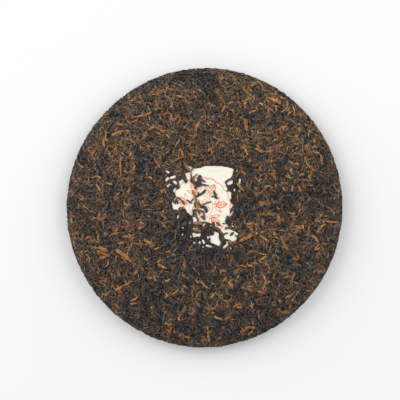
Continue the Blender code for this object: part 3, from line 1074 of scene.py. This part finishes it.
def add_bump(tree, shader, height, strength, distance):
    """Gives the shader a Bump node."""
    node = put(tree, "ShaderNodeBump")
    node.inputs["Strength"].default_value = strength
    node.inputs["Distance"].default_value = distance
    feed(tree, node.inputs["Height"], height)
    feed(tree, shader.inputs["Normal"], node.outputs["Normal"])


# ---------------------------------------------------------------- materials


def leaf_fibre_group():
    """Dried leaf, as a node group for every kind of leaf.

    Fine veins along the strand, creases darkened by painted shade, one darker end, lighter rubbed ridges,
    mottled dust and a slight warm or cool cast.
    """
    tree = bpy.data.node_groups.new("leaf_fibre", "ShaderNodeTree")
    inputs = ("Leaf Color", "Rubbed Color", "Rubbed Share", "Ridge", "Along", "Smoothness")
    for way, labels in (("INPUT", inputs), ("OUTPUT", ("Color", "Roughness", "Height"))):
        for label in labels:
            kind = "NodeSocketColor" if "Color" in label else "NodeSocketFloat"
            tree.interface.new_socket(label, in_out=way, socket_type=kind)
    entry = tree.nodes.new("NodeGroupInput").outputs
    result = tree.nodes.new("NodeGroupOutput").inputs
    strand = put(tree, "ShaderNodeUVMap", uv_map="strand")
    coords = object_coords(tree)
    fibre = noise(tree, stretched(tree, strand.outputs["UV"], (9.0, 1.6, 1.0)), 1.0, 3.0, 0.6)
    mottle = noise(tree, coords, 420.0, 2.0, 0.6)
    grain = noise(tree, coords, 1500.0, 2.0, 0.5)
    # Painted shade: the creases, where the folds pull a ring in, are darker.
    painted_crease_shade = ramp(tree, entry["Ridge"], 0.0, 0.7, 0.66, 1.1)
    streak = ramp(tree, fibre, 0.3, 0.7, 0.72, 1.25)
    spots = ramp(tree, mottle, 0.3, 0.72, 0.68, 1.32)
    base = ramp(tree, plus(tree, entry["Along"], times(tree, mottle, 0.5)), 0.75, 1.25, 1.17, 0.74)
    speckle = ramp(tree, grain, 0.32, 0.68, 0.57, 1.40)
    shade = times(tree, painted_crease_shade, streak, spots, base, speckle)
    grey = put(tree, "ShaderNodeCombineColor")
    for channel in grey.inputs:
        feed(tree, channel, shade)
    dark = mix(tree, 1.0, entry["Leaf Color"], grey.outputs["Color"], "MULTIPLY")
    high_ridge = ramp(tree, entry["Ridge"], 0.55, 1.0)
    worn = times(tree, high_ridge, ramp(tree, fibre, 0.4, 0.65), entry["Rubbed Share"])
    colour = mix(tree, worn, dark, entry["Rubbed Color"])
    cast = ramp(tree, noise(tree, coords, 800.0, 2.0, 0.5), 0.35, 0.65)
    cast_colour = mix(tree, cast, (1.10, 0.97, 0.88, 1.0), (0.90, 1.02, 1.12, 1.0))
    feed(tree, result["Color"], mix(tree, 1.0, colour, cast_colour, "MULTIPLY"))
    rough = minus(tree, 0.95, times(tree, entry["Smoothness"], 0.6))
    rough = plus(tree, rough, times(tree, mottle, 0.12))
    feed(tree, result["Roughness"], minus(tree, rough, times(tree, worn, 0.1)))
    feed(tree, result["Height"], plus(tree, fibre, times(tree, grain, 0.8)))
    return tree


def leaf_material(name, fibre, stops, rubbed, rubbed_share, smoothness, specular):
    """A kind of leaf. stops are the colours that the leaves' tints run through."""
    material, tree, shader = new_material(name, 0.6, specular)
    leaf = put(tree, "ShaderNodeAttribute", attribute_name="leaf")
    split = put(tree, "ShaderNodeSeparateColor")
    feed(tree, split.inputs["Color"], leaf.outputs["Color"])
    tints = put(tree, "ShaderNodeValToRGB")
    elements = tints.color_ramp.elements
    while len(elements) < len(stops):
        elements.new(0.5)
    for index, colour in enumerate(stops):
        elements[index].position = index / (len(stops) - 1)
        elements[index].color = (*colour, 1.0)
    feed(tree, tints.inputs["Fac"], split.outputs["Red"])
    group = put(tree, "ShaderNodeGroup", node_tree=fibre)
    values = {
        "Leaf Color": tints.outputs["Color"],
        "Rubbed Color": (*rubbed, 1.0),
        "Rubbed Share": rubbed_share,
        "Ridge": split.outputs["Green"],
        "Along": split.outputs["Blue"],
        "Smoothness": smoothness,
    }
    for label, value in values.items():
        feed(tree, group.inputs[label], value)
    feed(tree, shader.inputs["Base Color"], group.outputs["Color"])
    feed(tree, shader.inputs["Roughness"], group.outputs["Roughness"])
    add_bump(tree, shader, group.outputs["Height"], 0.5, 0.12 * MM)
    return material


def core_material():
    """Tea packed in shadow between the leaves: near black, crumbly."""
    material, tree, shader = new_material("packed_tea", 0.9)
    coords = object_coords(tree)
    crumbs = noise(tree, coords, 700.0, 4.0, 0.6)
    patches = noise(tree, coords, 160.0, 2.0, 0.5)
    light = times(tree, ramp(tree, crumbs, 0.45, 0.75), ramp(tree, patches, 0.35, 0.7))
    colour = mix(tree, light, (0.022, 0.020, 0.019, 1.0), (0.085, 0.062, 0.044, 1.0))
    feed(tree, shader.inputs["Base Color"], colour)
    add_bump(tree, shader, crumbs, 0.8, 0.5 * MM)
    return material


def line(tree, distance, half_width):
    """Mask of a soft-edged line where the distance from its middle is less than half_width."""
    inner = half_width - LINE_SOFT_INSIDE
    outer = half_width + LINE_SOFT_OUTSIDE
    return ramp(tree, calc(tree, "ABSOLUTE", distance), inner, outer, 1.0, 0.0)


def drawn_leaves(tree, polar, count, turn, middle, half_length, half_width, lean=0.0, veined=False):
    """Mask of count leaf outlines round a circle, in millimetres, from the polar radius and angle.

    Each has its own place, out along the radius and across it. Its edge is where the distance across is
    half_width times 1 - (out / half_length)^2. A veined one has a midrib and slanting side veins.
    """
    radius, angle = polar
    sector = 2.0 * math.pi / count
    turned = calc(tree, "MODULO", plus(tree, angle, turn + 4.0 * math.pi), sector)
    out = minus(tree, radius, middle)
    across = times(tree, minus(tree, turned, 0.5 * sector), middle)
    across = calc(tree, "ABSOLUTE", plus(tree, across, times(tree, out, lean)))
    share = calc(tree, "DIVIDE", out, half_length)
    edge = times(tree, minus(tree, 1.0, times(tree, share, share)), half_width)
    within = ramp(tree, calc(tree, "ABSOLUTE", share), 1.0, 1.1, 1.0, 0.0)
    outline = times(tree, line(tree, minus(tree, across, edge), OUTLINE_HALF), within)
    if not veined:
        return outline
    slant = plus(tree, minus(tree, out, across), 20.0 * VEIN_SPACING)
    vein = minus(tree, calc(tree, "MODULO", slant, VEIN_SPACING), 0.5 * VEIN_SPACING)
    inside = ramp(tree, minus(tree, edge, across), 0.0, 0.2)
    midrib = times(tree, line(tree, across, MIDRIB_HALF), within)
    return largest(tree, outline, midrib, times(tree, line(tree, vein, VEIN_HALF), inside))


def print_mask(tree, coords):
    """Mask of the ticket's print: a scalloped ring and a plain one, sprigs between them and a flower."""
    centred = put(tree, "ShaderNodeMapping", vector_type="TEXTURE")
    feed(tree, centred.inputs["Vector"], coords)
    centred.inputs["Location"].default_value = (TICKET_CENTRE.x, TICKET_CENTRE.y, 0.0)
    centred.inputs["Rotation"].default_value = (0.0, 0.0, TICKET_TURN)
    centred.inputs["Scale"].default_value = (MM, MM, MM)
    axes = put(tree, "ShaderNodeSeparateXYZ")
    feed(tree, axes.inputs["Vector"], centred.outputs["Vector"])
    x = axes.outputs["X"]
    y = axes.outputs["Y"]
    wobble = times(tree, minus(tree, noise(tree, coords, 240.0), 0.5), 1.2)
    radius = calc(tree, "SQRT", plus(tree, times(tree, x, x), times(tree, y, y)))
    radius = plus(tree, radius, wobble)
    angle = calc(tree, "ARCTAN2", y, x)
    polar = (radius, angle)
    scallops = calc(tree, "ABSOLUTE", calc(tree, "SINE", times(tree, angle, 0.5 * SCALLOPS)))
    outer_ring = line(tree, minus(tree, radius, plus(tree, 20.2, scallops)), 0.42)
    inner_ring = line(tree, minus(tree, radius, 8.2), 0.28)
    rings = times(tree, largest(tree, outer_ring, inner_ring), 0.75)
    middle_leaf = drawn_leaves(tree, polar, SPRIGS, 0.30, 14.6, 4.0, 2.0, veined=True)
    left_leaf = drawn_leaves(tree, polar, SPRIGS, 0.52, 12.2, 2.8, 1.1, lean=0.6)
    right_leaf = drawn_leaves(tree, polar, SPRIGS, 0.08, 12.2, 2.8, 1.1, lean=-0.6)
    petals = drawn_leaves(tree, polar, PETALS, 0.90, 4.2, 2.4, 1.5)
    return largest(tree, rings, middle_leaf, left_leaf, right_leaf, petals, line(tree, radius, 0.9))


def paper_material():
    """Cream handmade paper with an uneven, worn orange-red print."""
    material, tree, shader = new_material("ticket_paper_print", 0.85, 0.25)
    coords = object_coords(tree)
    worn = ramp(tree, noise(tree, coords, 1100.0, 3.0, 0.6), 0.34, 0.5, 0.6, 1.0)
    patchy = ramp(tree, noise(tree, coords, 110.0, 2.0, 0.5), 0.35, 0.6, 0.65, 1.0)
    ink = times(tree, print_mask(tree, coords), times(tree, worn, patchy))
    fibres = noise(tree, stretched(tree, coords, (1.0, 0.3, 1.0)), 1400.0, 4.0, 0.7)
    cloudy = ramp(tree, noise(tree, coords, 130.0, 3.0, 0.6), 0.3, 0.7)
    cream = mix(tree, cloudy, (0.85, 0.82, 0.69, 1.0), (0.91, 0.885, 0.765, 1.0))
    cream = mix(tree, ramp(tree, fibres, 0.35, 0.3, 0.0, 0.25), cream, (0.70, 0.60, 0.46, 1.0))
    feed(tree, shader.inputs["Base Color"], mix(tree, ink, cream, (0.84, 0.125, 0.022, 1.0)))
    add_bump(tree, shader, fibres, 0.5, 0.15 * MM)
    return material


# ---------------------------------------------------------------- the cake

# Scattered pieces: name, kind, seed, number of places, and limits of the depth of the tops in millimetres.
FACE_PIECES = (
    ("charcoal_leaves_face", CHARCOAL, 11, 4100, (0.05, 0.60)),
    ("taupe_leaves_face", TAUPE, 12, 3800, (0.05, 0.65)),
    ("brown_leaves_face", BROWN, 13, 4200, (0.05, 0.55)),
    ("golden_tips_face", GOLDEN, 14, 2000, (0.0, 0.50)),
    ("fine_stems_face", STEM, 15, 650, (0.0, 0.40)),
    ("broken_leaves_face", BROKEN, 16, 5200, (0.0, 0.50)),
    ("packed_leaves_face", PACKED, 17, 6600, (0.60, 1.00)),
)
BACK_PIECES = (
    ("packed_leaves_back", PACKED, 35, 3700, (0.60, 1.00)),
    ("charcoal_leaves_back", CHARCOAL, 31, 1900, (0.05, 0.80)),
    ("brown_leaves_back", BROWN, 32, 2500, (0.0, 0.65)),
    ("golden_tips_back", GOLDEN, 33, 800, (0.0, 0.45)),
    ("broken_leaves_back", BROKEN, 34, 1500, (0.0, 0.50)),
)
TICKET_PIECES = (
    ("charcoal_leaves_ticket", SHORT_CHARCOAL, 41, 3000, (0.05, 0.60)),
    ("brown_leaves_ticket", SHORT_BROWN, 42, 1300, (0.0, 0.50)),
    ("broken_leaves_ticket", BROKEN, 44, 3200, (0.0, 0.60)),
)

# Laid pieces: name, finish, seed, strands, limits of the depth of the tops, where less than nothing is
# above the smooth face, and limits of the tints.
LAID_PIECES = (
    ("laid_golden_tips_face", "golden_tip", 20, FACE_GOLDEN_MM, (-0.10, 0.0), (0.1, 0.8)),
    ("laid_rust_strands_face", "rust_strand", 23, FACE_RUST_MM, (-0.10, 0.0), (0.6, 1.0)),
    ("laid_golden_tips_ticket", "golden_tip", 21, TICKET_GOLDEN_MM, (-0.10, 0.0), (0.1, 0.8)),
    ("laid_brown_leaves_ticket", "brown_leaf", 24, TICKET_BROWN_MM, (-0.10, 0.0), (0.3, 1.0)),
    ("laid_dark_leaves_ticket", "broken_leaf", 22, TICKET_DARK_MM, (0.0, 0.15), (0.0, 0.42)),
)

# The studio: half the floor's width, the softboxes' size, colour, places and powers, and the camera's place.
FLOOR_HALF = 6.0
SOFTBOX_SIZE = 1.8
SOFTBOX_COLOUR = (1.0, 0.99, 0.98)
SOFTBOXES = {"key_left": ((-1.40, 0.81, 1.01), 24.0), "key_right": ((1.40, 0.81, 1.05), 17.0)}
CAMERA_PLACE = (-0.00329, 0.00555, 0.688)

leaf_fibre = leaf_fibre_group()
for finish_name, finish in LEAF_FINISHES.items():
    leaf_material(finish_name, leaf_fibre, **finish)

core = add_core(core_material())
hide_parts("tea_cake")
sheet = add_ticket(paper_material())
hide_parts("paper_ticket")

for name, kind, seed, count, tops_mm in FACE_PIECES:
    scatter(name, kind, seed, zone_places(count, FACE), tops_mm, off_bare_paper)
for name, kind, seed, count, tops_mm in BACK_PIECES:
    scatter(name, kind, seed, zone_places(count, BACK), tops_mm)
for name, kind, seed, count, tops_mm in TICKET_PIECES:
    scatter(name, kind, seed, ticket_places(count), tops_mm, beside_bare_paper)
for name, finish_name, seed, rows, tops_mm, tints in LAID_PIECES:
    laid_strands(name, finish_name, seed, rows, tops_mm, tints)


# ---------------------------------------------------------------- floor, light and camera


def add_floor():
    """A wide plain floor under the cake."""
    material, _, shader = new_material("studio_floor", 0.9, 0.2)
    shader.inputs["Base Color"].default_value = (0.895, 0.905, 0.905, 1.0)
    corners = [(FLOOR_HALF * x, FLOOR_HALF * y, 0.0) for x, y in ((-1, -1), (1, -1), (1, 1), (-1, 1))]
    mesh = bpy.data.meshes.new("floor")
    mesh.from_pydata(corners, [], [(0, 1, 2, 3)])
    mesh.materials.append(material)
    floor = link("floor", mesh)


def add_softbox(name, location, power):
    """A square area light at this place, facing the cake."""
    data = bpy.data.lights.new(name, "AREA")
    data.shape = "SQUARE"
    data.size = SOFTBOX_SIZE
    data.energy = power
    data.color = SOFTBOX_COLOUR
    light = link(name, data)
    light.location = location
    light.rotation_euler = (-light.location).to_track_quat("-Z", "Y").to_euler()


def add_world():
    """Even, slightly cool light from all round, and colours shown as they are."""
    world = bpy.data.worlds.new("studio")
    world.use_nodes = True
    background = world.node_tree.nodes["Background"]
    background.inputs["Color"].default_value = (0.97, 0.985, 1.0, 1.0)
    background.inputs["Strength"].default_value = 0.62
    bpy.context.scene.world = world
    bpy.context.scene.view_settings.view_transform = "Standard"
    bpy.context.scene.view_settings.look = "None"


def add_camera():
    """Straight down on the face, +Y up in the picture."""
    data = bpy.data.cameras.new("camera")
    data.lens = 85.0
    data.sensor_width = 36.0
    camera = link("camera", data)
    camera.location = CAMERA_PLACE
    bpy.context.scene.camera = camera


add_floor()
for name, (location, power) in SOFTBOXES.items():
    add_softbox(name, location, power)
add_world()
add_camera()
